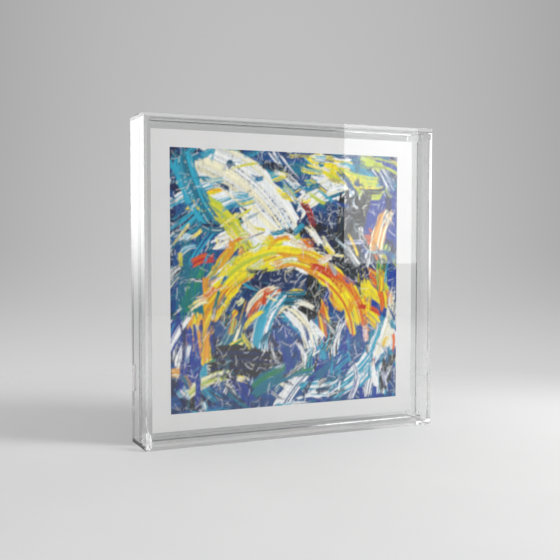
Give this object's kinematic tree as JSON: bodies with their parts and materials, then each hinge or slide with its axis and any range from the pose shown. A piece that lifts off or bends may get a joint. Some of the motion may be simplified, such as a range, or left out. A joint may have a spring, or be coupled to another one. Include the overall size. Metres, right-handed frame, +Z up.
{
  "type": "acrylic box frame",
  "caption": "Free-standing clear acrylic box frame with a white-bordered print floating halfway back, on an insert that draws out of the open back.",
  "frame": {"origin": "middle of the underside, halfway between the front and the back", "axes": "+Z up, the front panel faces -Y, +X to the viewer's right; the insert draws out along +Y"},
  "size_m": [0.254, 0.038, 0.254],
  "materials": {
    "clear_acrylic": "clear cast acrylic with polished edges",
    "printed_paper": "satin print paper, abstract painted pattern inside a white border",
    "mounting_tape": "translucent double-sided tape",
    "clear_silicone": "milky clear silicone"
  },
  "bodies": {
    "box": {"front_panel": "clear_acrylic", "top_wall": "clear_acrylic", "bottom_wall": "clear_acrylic", "left_wall": "clear_acrylic", "right_wall": "clear_acrylic", "panel_stop_top_left": "clear_acrylic", "panel_stop_top_right": "clear_acrylic", "panel_stop_bottom_left": "clear_acrylic", "panel_stop_bottom_right": "clear_acrylic"},
    "insert": {"mount_panel": "clear_acrylic", "back_panel": "clear_acrylic", "post_top_left": "clear_acrylic", "post_top_right": "clear_acrylic", "post_bottom_left": "clear_acrylic", "post_bottom_right": "clear_acrylic", "print_sheet": "printed_paper", "tape_strip_top": "mounting_tape", "tape_strip_bottom": "mounting_tape", "tape_strip_left": "mounting_tape", "tape_strip_right": "mounting_tape", "grip_pad_top_left": "clear_silicone", "grip_pad_top_right": "clear_silicone", "grip_pad_bottom_left": "clear_silicone", "grip_pad_bottom_right": "clear_silicone"}
  },
  "joints": [
    {"name": "insert_slide", "type": "slide", "parent": "box", "child": "insert", "axis": [0, 1, 0], "range_m": [0, 0.04]}
  ]
}
